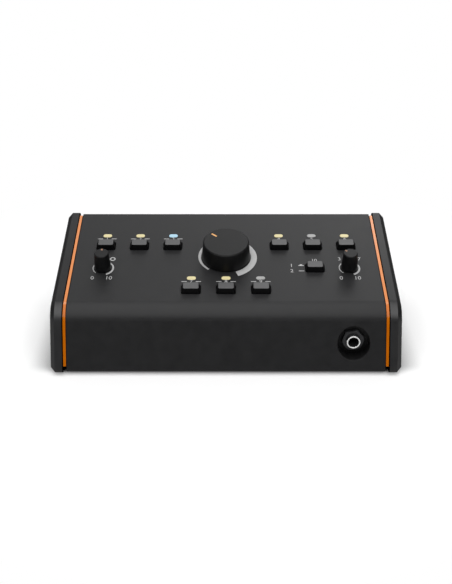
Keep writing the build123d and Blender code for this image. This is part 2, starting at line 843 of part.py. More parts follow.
def rear_jack_body(x):
    """Rear jack: housing with a threaded nose through the rear panel, bored for the plug."""
    body = jack_block(x, rear_inner_y - jack_body_length, rear_inner_y)
    nose_end = rear_outer_y + rear_nose_out
    body += facing_rear(x, rear_inner_y, jack_z) * rod(rear_nose_radius, nose_end - rear_inner_y)
    bore_start = rear_inner_y - jack_bore_depth
    return body - facing_rear(x, bore_start, jack_z) * rod(plug_bore_radius, nose_end - bore_start)


def rear_jack_nut(x):
    """Nut on a rear jack's nose."""
    nut = hex_nut(rear_nut_flats, rear_nut_height, rear_nose_radius + thread_clearance)
    return facing_rear(x, rear_outer_y, jack_z) * nut


def dc_inlet():
    """Power inlet: a block on the board, a nose in the panel and a pin in its bore."""
    half = inlet_width / 2
    y_from = rear_inner_y - inlet_length
    top = jack_z + inlet_height / 2
    body = block((inlet_x - half, inlet_x + half), (y_from, rear_inner_y), (main_board_top, top))
    body += facing_rear(inlet_x, rear_inner_y, jack_z) * rod(rear_nose_radius, sheet)
    bore = rod(inlet_radius, inlet_depth) - rod(inlet_pin_radius, inlet_depth - sheet)
    return body - facing_rear(inlet_x, rear_outer_y - inlet_depth, jack_z) * bore


def power_button():
    """Round button through the rear panel."""
    start = rear_inner_y - power_inside
    length = rear_outer_y + power_out - start
    button = facing_rear(power_x, start, jack_z) * rod(power_radius, length)
    button = fillet(button.faces().sort_by(Axis.Y)[-1].edges(), power_edge)
    return button - power_bar(plunger_size, start, rear_inner_y)


def power_bar(size, y_from, y_to):
    """Square bar on the power button's axis."""
    half = size / 2
    return block((power_x - half, power_x + half), (y_from, y_to), (jack_z - half, jack_z + half))


def power_switch_face():
    """Where the power switch's front ends, clear of the pressed button."""
    return rear_inner_y - power_inside - power_travel - seat_gap


def power_plunger():
    """Square plunger of the power switch, seated in the button."""
    return power_bar(plunger_size, power_switch_face() - power_travel, rear_inner_y)


def power_switch():
    """Latching switch on the main board, open at the rear for its plunger."""
    face = power_switch_face()
    half = power_switch_size / 2
    depth = (face - power_switch_length, face)
    body = block((power_x - half, power_x + half), depth, (main_board_top, jack_z + half))
    well_from = face - 2 * power_travel - seat_gap
    return body - power_bar(plunger_size + 2 * plunger_gap, well_from, face + past)


# ---- Parts on the boards ----
def standing(x, y, width, depth, height):
    """Block standing on the main board."""
    return Pos(x, y, main_board_top) * extrude(Rectangle(width, depth), height)


def relays():
    """Row of signal relays."""
    places = [relay_first_x + relay_pitch * step for step in range(relay_count)]
    return [standing(x, relay_y, relay_width, relay_length, relay_height) for x in places]


def op_amp_chips():
    """Row of op-amp chips between the relays and the rear jacks."""
    first = relay_first_x + relay_pitch * relay_count
    places = [first + chip_pitch * step for step in range(chip_count)]
    return [standing(x, chip_y, chip_width, chip_length, chip_height) for x in places]


def capacitors():
    """Row of electrolytic capacitors near the power inlet."""
    can = rod(capacitor_radius, capacitor_height)
    can = fillet(can.faces().sort_by(Axis.Z)[-1].edges(), capacitor_edge)
    places = [capacitor_first_x + capacitor_pitch * step for step in range(capacitor_count)]
    return [Pos(x, capacitor_y, main_board_top) * can for x in places]


def ribbon_points():
    """Ribbon run in (y, z): up from the main header, then square into the control header."""
    down = board_bottom - header_height
    end = panel.from_local_coords((0, -header_back, down))
    knee = panel.from_local_coords((0, -header_back, down - ribbon_reach))
    return [(knee.Y, main_board_top + header_height), (knee.Y, knee.Z), (end.Y, end.Z)]


def ribbon_headers():
    """Boxed header on each board."""
    start = ribbon_points()[0]
    lower = standing(header_x, start[0], header_length, header_width, header_height)
    upper = extrude(Rectangle(header_length, header_width), header_height)
    return [lower, on_panel(header_x, header_back, board_bottom - header_height) * upper]


def ribbon_cable():
    """Flat ribbon between the two headers."""
    path = Plane.YZ * FilletPolyline(*ribbon_points(), radius=ribbon_radius)
    start = ribbon_points()[0]
    strip = Pos(0, start[0], start[1]) * Rectangle(ribbon_width, ribbon_thickness)
    return Pos(header_x, 0, 0) * sweep(strip, path=path)


# ---- Write each node ----
def save(node, shapes):
    """Write one node, moved to the part's origin."""
    pieces = shapes if isinstance(shapes, list) else [shapes]
    solids = [solid for piece in pieces for solid in (to_origin * piece).solids()]
    shape = solids[0] if len(solids) == 1 else Compound(children=solids)
    export_step(shape, f"parts/{node}.step")


os.makedirs("parts", exist_ok=True)

save("front_top_cover", front_top_cover())
save("base_chassis", base_chassis())
save("right_trim", right_trim())
save("left_trim", mirrored(right_trim()))
save("right_cheek", right_cheek())
save("left_cheek", mirrored(right_cheek()))
save("cheek_screws", cheek_screws())
save("cover_screws", cover_screws())
save("rubber_feet", rubber_feet())
save("foot_screws", foot_screws())

save("control_board", control_board())
save("control_board_pillars", control_board_pillars())
save("main_board", main_board())
save("main_board_pillars", main_board_pillars())
save("board_screws", board_screws())
save("ribbon_headers", ribbon_headers())
save("ribbon_cable", ribbon_cable())
save("relays", relays())
save("op_amp_chips", op_amp_chips())
save("capacitors", capacitors())

momentary = button_places()[:-1]
selector_x, selector_back = button_places()[-1]
for number, (x, back) in enumerate(momentary, start=1):
    row = "rear_row" if number <= len(rear_columns) else "front_row"
    place = number if number <= len(rear_columns) else number - len(rear_columns)
    save(f"{row}_button_{place}", on_panel(x, back) * button_cap())
save("button_switches", [on_panel(x, back) * button_switch() for x, back in momentary])
save("selector_button", on_panel(selector_x, selector_back) * selector_button())
save("selector_plunger", on_panel(selector_x, selector_back) * selector_plunger())
save("selector_switch", on_panel(selector_x, selector_back) * selector_switch())

rear_windows = ["yellow", "yellow", "blue", "yellow", "unlit", "yellow"]
front_windows = ["yellow", "yellow", "unlit"]
lenses = {"yellow": [], "blue": [], "unlit": []}
for colour, (x, back) in zip(rear_windows + front_windows, indicator_places()):
    lenses[colour].append(on_panel(x, back) * indicator_lens())
save("yellow_indicator_lenses", lenses["yellow"])
save("blue_indicator_lens", lenses["blue"])
save("unlit_indicator_lenses", lenses["unlit"])
save("led_packages", [on_panel(x, back) * led_package() for x, back in indicator_places()])

volume_place = on_panel(0, volume_row)
volume_shaft = pot_shaft(volume_height, volume_crown)
save("volume_knob", volume_place * volume_knob())
save("volume_pointer", volume_place * volume_pointer())
save("volume_pot_shaft", volume_place * volume_shaft)
save("volume_pot_body", volume_place * volume_pot())
save("volume_pot_nut", volume_place * pot_nut())

small_shaft = pot_shaft(small_height, volume_crown)
small_knobs = [
    ("left", -outer_column, left_pointer_angle),
    ("right", outer_column, right_pointer_angle),
]
for side, x, angle in small_knobs:
    place = on_panel(x, knob_row)
    save(f"{side}_knob", place * small_knob(angle))
    save(f"{side}_pointer", place * small_pointer(angle))
    save(f"{side}_pot_shaft", place * small_shaft)
save("small_pot_bodies", [on_panel(x, knob_row) * small_pot() for _, x, _ in small_knobs])

save("jack_recess_cup", jack_recess_cup())
save("front_jack_bush", front_jack_bush())
save("front_jack_nut", front_jack_nut())
save("front_jack_body", front_jack_body())
save("rear_jack_bodies", [rear_jack_body(x) for x in rear_jacks_x])
save("rear_jack_nuts", [rear_jack_nut(x) for x in rear_jacks_x])
save("dc_inlet", dc_inlet())
save("power_button", power_button())
save("power_plunger", power_plunger())
save("power_switch", power_switch())
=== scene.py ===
"""Looks for a studio monitor controller: a dark sheet-metal wedge between two moulded cheeks.

Everything is in metres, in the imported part's own frame: +X right, +Y to the rear, +Z up.
"""

import json
import math

import bmesh
import bpy
from mathutils import Matrix, Vector


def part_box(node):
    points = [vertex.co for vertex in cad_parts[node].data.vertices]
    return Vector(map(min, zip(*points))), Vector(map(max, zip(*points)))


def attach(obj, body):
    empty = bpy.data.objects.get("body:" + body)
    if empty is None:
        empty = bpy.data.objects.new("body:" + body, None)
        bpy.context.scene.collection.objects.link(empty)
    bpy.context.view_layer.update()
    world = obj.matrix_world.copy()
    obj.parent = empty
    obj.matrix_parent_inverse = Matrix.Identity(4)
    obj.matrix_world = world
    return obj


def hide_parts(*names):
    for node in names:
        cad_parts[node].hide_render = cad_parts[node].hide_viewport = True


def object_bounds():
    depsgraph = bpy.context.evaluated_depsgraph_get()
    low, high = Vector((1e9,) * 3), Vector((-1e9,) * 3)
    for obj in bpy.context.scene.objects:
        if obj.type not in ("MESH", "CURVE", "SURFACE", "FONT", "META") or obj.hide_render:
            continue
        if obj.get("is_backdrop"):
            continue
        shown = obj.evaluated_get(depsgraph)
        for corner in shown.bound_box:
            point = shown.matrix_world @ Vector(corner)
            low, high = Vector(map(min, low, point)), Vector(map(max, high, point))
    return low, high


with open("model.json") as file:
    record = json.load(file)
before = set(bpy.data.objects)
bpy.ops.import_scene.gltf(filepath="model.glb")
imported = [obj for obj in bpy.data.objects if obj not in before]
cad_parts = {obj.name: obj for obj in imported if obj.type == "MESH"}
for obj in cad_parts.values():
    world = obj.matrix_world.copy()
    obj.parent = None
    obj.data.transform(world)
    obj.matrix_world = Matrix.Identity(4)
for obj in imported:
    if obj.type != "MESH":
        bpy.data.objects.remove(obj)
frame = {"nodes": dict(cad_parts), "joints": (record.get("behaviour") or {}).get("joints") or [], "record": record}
nodes = frame["nodes"]
cad_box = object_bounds()
joints = {joint["name"]: joint for joint in frame["joints"]}
mounts = {mount["name"]: mount for mount in frame["record"]["mounts"]}

MM = 0.001
CASE = "case"


def middle_x(node):
    """Middle of a node across the case, in millimetres."""
    low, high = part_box(node)
    return (low[0] + high[0]) / 2 / MM


# ---- Camera ----
PICTURE_HEIGHT = 584  # pixels
FOCAL_LENGTH = 960.0  # pixels
SENSOR = 36.0  # millimetres, along the picture's longer side
CAMERA_PITCH = 25.9  # degrees below the horizontal
CAMERA_PLACE = (0.0, -0.5775, 0.3110)
CLIP_START = 0.01

# ---- Floor ----
FLOOR_SIZE = 6.0
FLOOR_BOUNCE = 0.19  # floor's own grey, for light that it sends back
FLOOR_WHITE = 1.0  # what the camera sees of it
FLOOR_MIRRORED = 0.64  # what glossy and clear surfaces see of it
CONTACT_REACH = 0.018  # how far from the object the floor loses light to it
CONTACT_EDGES = (-0.056, -0.045)  # from front to rear, where that loss fades in
FLOOR_FADE = (0.17, 0.3)  # distance from the middle where the even white fades in
FRONT_WHITE = 0.33  # share of even white before the object
FRONT_EDGES = (-0.0507, -0.0553)  # from rear to front, where that share fades in

# ---- Sky and lamps; edges are shares of a direction that points up, to the rear or to the right ----
WHITE = (1.0, 1.0, 1.0, 1.0)
SKY_LIGHT = 0.05
SKY_RISE = 0.22  # extra light of the sky overhead
SKY_EDGES = (0.15, 0.6)  # up, where the sky brightens
WALL_LIGHT = 0.53  # extra light of the pale wall behind the object
WALL_EDGES = (0.1, 0.6)  # to the rear, where the wall fades in
WALL_TOP = (0.86, 0.75)  # up, where the wall ends
WALL_FOOT = (0.2, 0.55)  # up, where the wall starts
PATCH_LIGHT = 1.75  # extra light of the wall's lower part, right of the middle
PATCH_TOP = (0.8, 0.68)
PATCH_LEFT = (-0.2, 0.03)
PATCH_RIGHT = (0.45, 0.25)
OVERHEAD_POWER = 20.0
OVERHEAD_SIZE = 1.8
OVERHEAD_PLACE = (0.0, -0.4, 1.15)
SIDE_POWER = 0.4
SIDE_SIZE = 0.3
SIDE_PLACE = (0.33, 0.82, 0.9)

# ---- Prints on the top panel, in millimetres; rows count down the slope from the rear edge ----
VOLUME_ROW = 49.7
BUTTON_ROW = 38.1
FRONT_BUTTON_ROW = 82.9
KNOB_ROW = 61.4
REAR_COLUMNS = [middle_x(f"rear_row_button_{number}") for number in range(1, 7)]
FRONT_COLUMNS = [middle_x(f"front_row_button_{number}") for number in range(1, 4)]
SELECTOR_X = middle_x("selector_button")
SMALL_X = joints["right_knob_turn"]["pos_m"][0] / MM
PRINT_THICKNESS = 0.04
ARC_STEPS = 96
ARC_START = 139.0  # degrees anticlockwise from the rear
ARC_END = -158.0
VOLUME_ARC = (16.6, 17.8, 21.3)  # inner radius, outer radius at the start and at the end
SMALL_ARC = (6.15, 6.6, 7.5)
NUMBER_SIZE = 4.0
NUMBER_BEHIND_CAP = 7.9  # a number's middle behind its button's middle
BARRED_COLUMNS = 3  # rear columns whose numbers have bars
BAR_SIZE = (3.4, 0.55)
BAR_MIDDLE = 4.6  # a bar's middle from its number's middle
DIAL_NUMBER_SIZE = 4.6
DIAL_FRONT = 10.1  # dial numbers in front of a small knob's axis
DIAL_FRONT_SIDES = {"0": -6.0, "10": 4.6}  # each number to the right of the axis
DIAL_REAR = 9.4  # marks behind a small knob's axis
DIAL_REAR_SIDES = {"3": -5.6, "7": 7.5}
RING_SIDE = 5.6  # ring mark to the right of the left knob's axis
RING_RADII = (1.1, 1.9)
RING_SEGMENTS = 64
WELD_DISTANCE = 1e-7  # metres, where a ring's two ends meet
CHOICE_X = 43.0  # the two choices left of the selector
CHOICE_ROWS = (58.8, 64.3)
PICTOGRAM_X = 49.3
PICTOGRAM_SIZE = (3.6, 0.6)
KEY_SIZE = (1.7, 0.9)
REAR_NUMBER_RISE = 12.5  # numbers over the rear jacks' axes
REAR_NUMBER_SIZE = 4.5

# ---- Small hardware, in millimetres ----
AXIS_GAP = 0.02  # left open on a screw's axis, so that its turned outline stays closed
THREAD_PITCH = 0.75
THREAD_DEPTH = 0.15
BUSH_RADIUS = 4.2
BUSH_BORE_RADIUS = 3.25
RIM_RADII = (3.42, 4.28)
RIM_LENGTH = 0.3
RIM_ROUND = 0.06
INLET_X, REAR_PANEL_Y, JACK_Z = (part / MM for part in mounts["power_inlet"]["pos_m"])
REAR_JACKS_X = [mounts[f"rear_jack_{number}"]["pos_m"][0] / MM for number in range(1, 9)]
NOSE_RADIUS = 4.5
NUT_END = 2.4  # past the rear panel
NOSE_END = 4.5
PIN_RADIUS = 1.03
PIN_ROOT = -9.4
PIN_TIP = -1.45
PIN_SHOULDER = 0.87  # share of the pin's radius halfway along its rounded tip
HEAD_RADIUS = 2.75
HEAD_HEIGHT = 1.2
HEAD_OUTLINE = ((1.0, 0.0), (1.0, 0.4), (0.95, 0.7), (0.82, 0.92), (0.68, 1.0))  # shares of the two
SHANK_RADIUS = 1.45
SHANK_TIP_SHARE = 0.7  # of the shank's radius
SHANK_TAPER = 0.5  # length of its pointed end
SCREW_SEGMENTS = 32
RECESS_WIDTH = 0.75
RECESS_LENGTH = 3.1
RECESS_DEPTH = 0.8
RECESS_TAPER = 0.6  # share of the recess's width and length at its floor
CUTTER_RISE = 0.2  # how far the recess's cutter starts above the head
RECESS_ANGLE = 45.0  # degrees, of a cross
SCREW_TURN = 37.0  # degrees from one screw's recess to the next one's
COVER_SCREW_LENGTH = 5.0
COVER_SCREW_SIDE = 80.0  # outer screws from the case's middle
REAR_LIP_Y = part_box("front_top_cover")[1][1] / MM
REAR_SCREW_Z = 60.928
REAR_SCREWS = [
    (COVER_SCREW_SIDE * share, REAR_LIP_Y, REAR_SCREW_Z) for share in (-1, -1 / 3, 1 / 3, 1)
]
FRONT_SCREW_Y = -50.745
UNDERSIDE_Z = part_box("front_top_cover")[0][2] / MM
FRONT_SCREWS = [(COVER_SCREW_SIDE * share, FRONT_SCREW_Y, UNDERSIDE_Z) for share in (-1, 0, 1)]
FOOT_SCREW_LENGTH = 4.5
FOOT_SIDE = 82.0
FOOT_FRONT_Y = mounts["feet"]["pos_m"][1] / MM
FOOT_REAR_Y = 38.248
FOOT_RECESS = 1.9  # from the floor to the seat of a foot's screw
FOOT_SCREWS = [
    (x, y, FOOT_RECESS) for x in (-FOOT_SIDE, FOOT_SIDE) for y in (FOOT_FRONT_Y, FOOT_REAR_Y)
]


# ---- Shader helpers ----
def new_material(name):
    """Material with an empty node tree, and that tree."""
    made = bpy.data.materials.new(name)
    made.use_nodes = True
    made.node_tree.nodes.clear()
    return made, made.node_tree


def feed(tree, value, socket):
    """Give a socket a number or another node's output."""
    if isinstance(value, float):
        socket.default_value = value
    else:
        tree.links.new(value, socket)


def maths(tree, operation, *terms):
    """Output of an operation on numbers and other nodes' outputs."""
    node = tree.nodes.new("ShaderNodeMath")
    node.operation = operation
    for term, socket in zip(terms, node.inputs):
        feed(tree, term, socket)
    return node.outputs["Value"]


def weighted(tree, value, weight, base):
    """Output with value x weight + base."""
    return maths(tree, "MULTIPLY_ADD", value, weight, base)


def product(tree, first, second):
    """Output with first x second."""
    return maths(tree, "MULTIPLY", first, second)


def ranged(tree, value, source, target=(0.0, 1.0), kind="LINEAR"):
    """Output that runs from end to end of target while value runs from end to end of source."""
    node = tree.nodes.new("ShaderNodeMapRange")
    node.interpolation_type = kind
    for name, number in zip(("From Min", "From Max", "To Min", "To Max"), (*source, *target)):
        node.inputs[name].default_value = number
    tree.links.new(value, node.inputs["Value"])
    return node.outputs["Result"]


def faded(tree, value, edges):
    """Output that rises smoothly from 0 to 1 while value goes from one edge to the other."""
    return ranged(tree, value, edges, kind="SMOOTHSTEP")


def parted(tree, vector):
    """X, Y and Z outputs of a vector."""
    parts = tree.nodes.new("ShaderNodeSeparateXYZ")
    tree.links.new(vector, parts.inputs["Vector"])
    return parts.outputs


def facing_share(tree, normal, direction, edges):
    """Output that rises from 0 to 1 as the surface turns to face a direction."""
    level = tree.nodes.new("ShaderNodeVectorMath")
    level.operation = "DOT_PRODUCT"
    tree.links.new(normal, level.inputs[0])
    level.inputs[1].default_value = direction
    return ranged(tree, level.outputs["Value"], edges)


def within(tree, place, limit):
    """Output that is 1 nearer to x = 0 than the limit, and 0 farther out."""
    across = maths(tree, "ABSOLUTE", parted(tree, place)["X"])
    return ranged(tree, across, (limit + SHADE_FADE, limit))


def blended(tree, share, tint, other):
    """Colour output between tint and another colour."""
    blend = tree.nodes.new("ShaderNodeMix")
    blend.data_type = "RGBA"
    tree.links.new(share, blend.inputs["Factor"])
    tree.links.new(tint, blend.inputs["A"])
    blend.inputs["B"].default_value = other
    return blend.outputs["Result"]


def noise(tree, place, scale, detail):
    """Output of a noise, from 0 to 1."""
    node = tree.nodes.new("ShaderNodeTexNoise")
    node.inputs["Scale"].default_value = scale
    node.inputs["Detail"].default_value = detail
    tree.links.new(place, node.inputs["Vector"])
    return node.outputs["Fac"]


def mottled(tree, mottle, base, share):
    """Colour output that strays from the base by a share of it either way."""
    ramp = tree.nodes.new("ShaderNodeValToRGB")
    shades = (1 - share, 1 + share)
    for element, position, shade in zip(ramp.color_ramp.elements, NOISE_SPREAD, shades):
        element.position = position
        element.color = tuple(min(1.0, part * shade) for part in base[:3]) + (1.0,)
    tree.links.new(mottle, ramp.inputs["Fac"])
    return ramp.outputs["Color"]


def grained(tree, place, look):
    """Normal output with a fine grain, and with softened edges where the look has them."""
    bump = tree.nodes.new("ShaderNodeBump")
    bump.inputs["Strength"].default_value = 1.0
    bump.inputs["Distance"].default_value = look["grain"]
    grain = noise(tree, place, look["grain_scale"], GRAIN_DETAIL)
    tree.links.new(grain, bump.inputs["Height"])
    if "round_edges" in look:
        edge = tree.nodes.new("ShaderNodeBevel")
        edge.samples = EDGE_SAMPLES
        edge.inputs["Radius"].default_value = look["round_edges"]
        tree.links.new(edge.outputs["Normal"], bump.inputs["Normal"])
    return bump.outputs["Normal"]


# ---- Materials ----
def linear(level):
    """Linear value of an sRGB level from 0 to 255."""
    share = level / 255
    return share / 12.92 if share <= 0.04045 else ((share + 0.055) / 1.055) ** 2.4


def colour(red, green, blue):
    """Linear colour of an sRGB triple."""
    return (linear(red), linear(green), linear(blue), 1.0)


MOTTLE_DETAIL = 4.0
GRAIN_DETAIL = 2.0
NOISE_SPREAD = (0.3, 0.7)  # where most of a noise lies
GLOW_SPREAD = (0.9, 1.1)  # shares of its strength between which a glow strays
EDGE_SAMPLES = 4
SHADE_FADE = 0.0002
CHEEK_GAP_SHADE = (0.1026, colour(4, 4, 4))  # painted shade of the gap between a trim and its cheek
TRIM_EDGE_SHADE = (0.10016, colour(32, 32, 33))  # painted shade, in the cover's colour, where the cover's edge meets a trim
PANEL_NORMAL = joints["volume_turn"]["axis"]
# painted lit colour on the button tops, which face up the panel
LIT_TOP_FACING = (PANEL_NORMAL, (0.9, 0.98))
# painted sheen, a paler orange, on the trims' top slopes
TRIM_SHEEN_FACING = (PANEL_NORMAL, (0.97, 0.995))
# painted highlight, a lighter grey, on the cheeks' front bends and fronts
CHEEK_HIGHLIGHT_FACING = ((0.0, -0.92, 0.38), (0.66, 0.95))

# Sizes are in metres, and scales are per metre. mottle and uneven are the shares by which the
# colour and the roughness stray. facing is a direction and the shares of it between which painted
# light fades in: faced, a lighter colour for a lit top, sheen or highlight, and faced_specular.
# seam is how far either side of x = 0 a colour of painted shade reaches, dull, and that colour.
PLAIN_LOOK = {
    "metallic": 0.0,
    "specular": 0.5,
    "coat": 0.0,
    "mottle": 0.12,
    "mottle_scale": 160.0,
    "uneven": 0.1,
    "grain": 0.00001,
    "grain_scale": 2600.0,
}
LOOKS = {
    "case_paint": {
        "base": colour(32, 32, 33), "roughness": 0.42, "specular": 0.28, "mottle": 0.08,
        "grain": 0.000012, "grain_scale": 3200.0, "round_edges": 0.0003,
    },
    "chassis_paint": {"base": colour(42, 42, 43), "roughness": 0.6, "grain": 0.00002},
    "orange_trim": {
        "base": colour(209, 109, 0), "roughness": 0.15, "specular": 0.35, "mottle": 0.06,
        # painted shade on the trim's strip beside the cover
        "round_edges": 0.00025, "painted_shade": TRIM_EDGE_SHADE,
        # painted sheen: the top slope in a paler orange
        "painted_light_facing": TRIM_SHEEN_FACING, "painted_light_colour": colour(222, 134, 70), "faced_specular": 1.0,
    },
    "cheek_plastic": {
        "base": colour(23, 23, 24), "roughness": 0.35, "specular": 0.36, "mottle": 0.08,
        # painted shade on the cheek's strip beside its trim
        "grain": 0.000008, "round_edges": 0.0004, "painted_shade": CHEEK_GAP_SHADE,
        # painted highlight: the front bend and front in a lighter grey
        "painted_light_facing": CHEEK_HIGHLIGHT_FACING, "painted_light_colour": colour(32, 32, 33), "faced_specular": 0.6,
    },
    "black_steel": {"base": colour(40, 40, 42), "roughness": 0.35, "metallic": 0.6},
    "steel": {"base": colour(188, 188, 190), "roughness": 0.32, "metallic": 1.0, "uneven": 0.3},
    "bright_metal": {"base": colour(246, 246, 244), "roughness": 0.13, "metallic": 1.0},
    "dark_nut": {"base": colour(52, 52, 54), "roughness": 0.38, "metallic": 0.5},
    "rubber": {
        "base": colour(36, 36, 37), "roughness": 0.85, "specular": 0.3, "grain": 0.00004,
    },
    "circuit_board": {"base": colour(26, 92, 48), "roughness": 0.4, "coat": 0.3},
    "black_plastic": {
        "base": colour(10, 10, 11), "roughness": 0.55, "specular": 0.3, "mottle": 0.15,
    },
    "white_plastic": {"base": colour(222, 221, 214), "roughness": 0.45},
    "relay_plastic": {"base": colour(214, 206, 180), "roughness": 0.45},
    "capacitor_sleeve": {"base": colour(34, 38, 66), "roughness": 0.35, "coat": 0.2},
    "ribbon": {"base": colour(158, 158, 160), "roughness": 0.55, "mottle_scale": 900.0},
    "button_plastic": {
        "base": colour(6, 6, 7), "roughness": 0.45, "specular": 0.1, "mottle": 0.08,
        "round_edges": 0.0002,
        # painted lit tops: lighter than the near-black sides
        "painted_light_facing": LIT_TOP_FACING, "painted_light_colour": colour(69, 69, 70), "faced_specular": 0.7,
    },
    "knob_plastic": {
        "base": colour(17, 17, 18), "roughness": 0.4, "specular": 0.25, "mottle": 0.1,
        "round_edges": 0.0002,
    },
    "pointer_orange": {"base": colour(228, 168, 99), "roughness": 0.45, "mottle": 0.06},
    "worn_pointer": {"base": colour(140, 104, 82), "roughness": 0.5, "mottle": 0.06},
    "lens_yellow": {
        "base": colour(110, 104, 68), "roughness": 0.25,
        "glow": colour(222, 210, 166), "glow_strength": 0.8,
    },
    "lens_blue": {
        "base": colour(90, 110, 120), "roughness": 0.25,
        "glow": colour(173, 212, 232), "glow_strength": 0.8,
    },
    "lens_grey": {"base": colour(160, 160, 159), "roughness": 0.3, "mottle": 0.05},
    "panel_print": {"base": colour(176, 176, 176), "roughness": 0.6, "mottle": 0.08},
}
SMALL_POINTERS = ("left_pointer", "right_pointer")  # duller than the volume knob's


def material(name):
    """Procedural material: mottled colour, uneven gloss, a fine bump, and painted light and shade."""
    look = {**PLAIN_LOOK, **LOOKS[name]}
    made, tree = new_material(name)
    output = tree.nodes.new("ShaderNodeOutputMaterial")
    shader = tree.nodes.new("ShaderNodeBsdfPrincipled")
    tree.links.new(shader.outputs["BSDF"], output.inputs["Surface"])
    shader.inputs["Metallic"].default_value = look["metallic"]
    shader.inputs["Coat Weight"].default_value = look["coat"]
    place = tree.nodes.new("ShaderNodeTexCoord").outputs
    mottle = noise(tree, place["Object"], look["mottle_scale"], MOTTLE_DETAIL)
    tint = mottled(tree, mottle, look["base"], look["mottle"])
    shine = look["specular"]
    # Faces turned to the facing direction get painted light: a lighter colour, with its own specular.
    if "painted_light_facing" in look:
        share = facing_share(tree, place["Normal"], *look["painted_light_facing"])
        tint = blended(tree, share, tint, look["painted_light_colour"])
        shine = weighted(tree, share, look["faced_specular"] - shine, shine)
    # Nearer to x = 0 than the limit, painted shade: a darker colour, without specular.
    if "painted_shade" in look:
        limit, shade_colour = look["painted_shade"]
        share = within(tree, place["Object"], limit)
        tint = blended(tree, share, tint, shade_colour)
        shine = product(tree, weighted(tree, share, -1.0, 1.0), shine)
    feed(tree, tint, shader.inputs["Base Color"])
    feed(tree, shine, shader.inputs["Specular IOR Level"])
    smooth = look["roughness"] * (1 - look["uneven"])
    rough = min(1.0, look["roughness"] * (1 + look["uneven"]))
    feed(tree, ranged(tree, mottle, NOISE_SPREAD, (smooth, rough)), shader.inputs["Roughness"])
    feed(tree, grained(tree, place["Object"], look), shader.inputs["Normal"])
    if "glow" in look:
        strengths = [look["glow_strength"] * share for share in GLOW_SPREAD]
        feed(tree, ranged(tree, mottle, (0.0, 1.0), strengths), shader.inputs["Emission Strength"])
        shader.inputs["Emission Color"].default_value = look["glow"]
    return made


def dress_frame(finishes):
    """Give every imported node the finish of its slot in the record, but the small pointers their own."""
    for part in frame["record"]["subparts"]:
        finish = "worn_pointer" if part["node"] in SMALL_POINTERS else part["material_slot"]
        mesh = nodes[part["node"]].data
        mesh.materials.clear()
        mesh.materials.append(finishes[finish])


# ---- Mesh helpers; a build is a function that fills a bmesh ----
def new_object(name, data):
    """Object of the scene with the given data."""
    made = bpy.data.objects.new(name, data)
    bpy.context.scene.collection.objects.link(made)
    return made


def filled_mesh(name, build, smooth=False):
    """Mesh of a build."""
    mesh = bpy.data.meshes.new(name)
    work = bmesh.new()
    build(work)
    bmesh.ops.recalc_face_normals(work, faces=work.faces)
    for face in work.faces:
        face.smooth = smooth
    work.to_mesh(mesh)
    work.free()
    return mesh


def add_piece(name, build, finish, place=None, body=CASE, smooth=False):
    """Make a mesh piece from a build, and let it ride on a body."""
    mesh = filled_mesh(name, build, smooth)
    mesh.materials.append(finish)
    piece = new_object(name, mesh)
    if place is not None:
        piece.matrix_world = place
    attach(piece, body)
    return piece


def panel_place(x, back, up=0.0):
    """Matrix of a place on the top panel, in millimetres: across, from the rear edge, above."""
    turn = joints["volume_turn"]
    normal = Vector(turn["axis"])
    to_rear = Vector((0.0, normal.z, -normal.y))
    across = Vector((1.0, 0.0, 0.0))
    spot = Vector(turn["pos_m"]) + MM * (x * across + (VOLUME_ROW - back) * to_rear + up * normal)
    axes = Matrix((across, to_rear, normal)).transposed().to_4x4()
    return Matrix.Translation(spot) @ axes


def bore_place(x, y, z, to_rear):
    """Matrix whose local Z runs to the rear or to the front, from a place in millimetres."""
    turn = Matrix.Rotation(math.radians(-90 if to_rear else 90), 4, "X")
    return Matrix.Translation(Vector((x, y, z)) * MM) @ turn


def flat_band(work, inner, outer, thickness):
    """Closed thin band between two rows of points in the local XY plane."""
    rows = []
    for points, height in ((inner, 0.0), (outer, 0.0), (outer, thickness), (inner, thickness)):
        rows.append([work.verts.new((x, y, height)) for x, y in points])
    for low, high in zip(rows, rows[1:] + rows[:1]):
        for step in range(len(low) - 1):
            work.faces.new((low[step], low[step + 1], high[step + 1], high[step]))
    for end in (0, -1):
        work.faces.new([row[end] for row in rows])


def around(radius, degrees):
    """Point at an angle anticlockwise from the local +Y."""
    angle = math.radians(degrees)
    return (-radius * math.sin(angle), radius * math.cos(angle))


def revolve(profile, segments=RING_SEGMENTS):
    """Build of a closed profile of (radius, height) turned about Z."""
    def build(work):
        rings = []
        for step in range(segments):
            angle = 2 * math.pi * step / segments
            cos, sin = math.cos(angle), math.sin(angle)
            rings.append([work.verts.new((r * cos * MM, r * sin * MM, h * MM)) for r, h in profile])
        for ring, after in zip(rings, rings[1:] + rings[:1]):
            for step in range(len(profile)):
                follow = (step + 1) % len(profile)
                work.faces.new((ring[step], after[step], after[follow], ring[follow]))
    return build


def joined(builds):
    """Build of several builds, each given with its matrix."""
    def build(work):
        for fill, place in builds:
            part = bmesh.new()
            fill(part)
            part.transform(place)
            mesh = bpy.data.meshes.new("part")
            part.to_mesh(mesh)
            part.free()
            work.from_mesh(mesh)
            bpy.data.meshes.remove(mesh)
    return build


# ---- Scales round the knobs ----
def growing_arc(inner, start, end):
    """Build of an arc that widens clockwise."""
    def build(work):
        near, far = [], []
        for step in range(ARC_STEPS + 1):
            share = step / ARC_STEPS
            degrees = ARC_START + (ARC_END - ARC_START) * share
            near.append(around(inner * MM, degrees))
            far.append(around((start + (end - start) * share) * MM, degrees))
        flat_band(work, near, far, PRINT_THICKNESS * MM)
    return build


